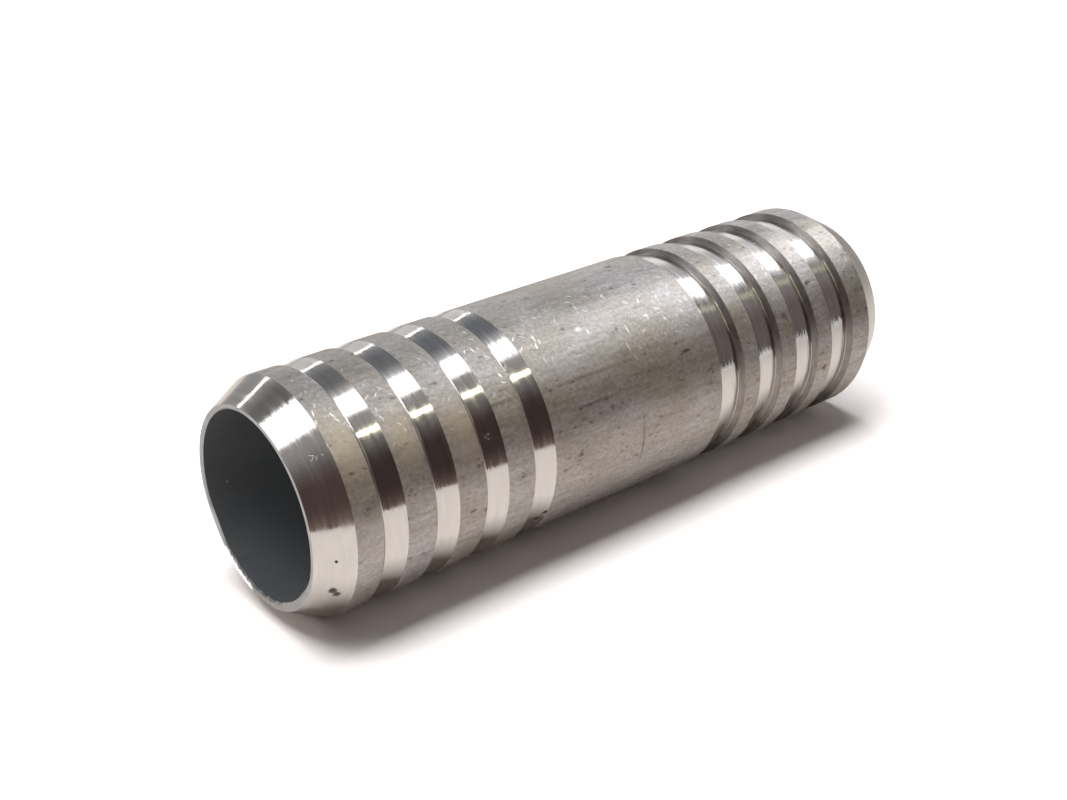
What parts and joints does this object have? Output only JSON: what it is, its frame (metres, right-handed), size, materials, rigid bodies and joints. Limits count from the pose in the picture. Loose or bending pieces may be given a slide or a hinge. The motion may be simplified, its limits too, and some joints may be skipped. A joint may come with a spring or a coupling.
{
  "type": "barbed hose joiner",
  "caption": "Straight metal hose joiner: a plain tube, open right through, with a coned nose and a row of turned hose barbs at each end.",
  "frame": {"origin": "centre of the lower mouth, which the joiner stands on", "axes": "+Z along the bore, from the lower mouth to the upper one; the two ends are alike, but the grooves at the lower one are cut 0.1 mm deeper, and so are wider"},
  "size_m": [0.02, 0.02, 0.064],
  "materials": {
    "tube": "satin drawn tube, bright where it was turned"
  },
  "bodies": {
    "root": {"hose_joiner": "tube"}
  },
  "joints": []
}
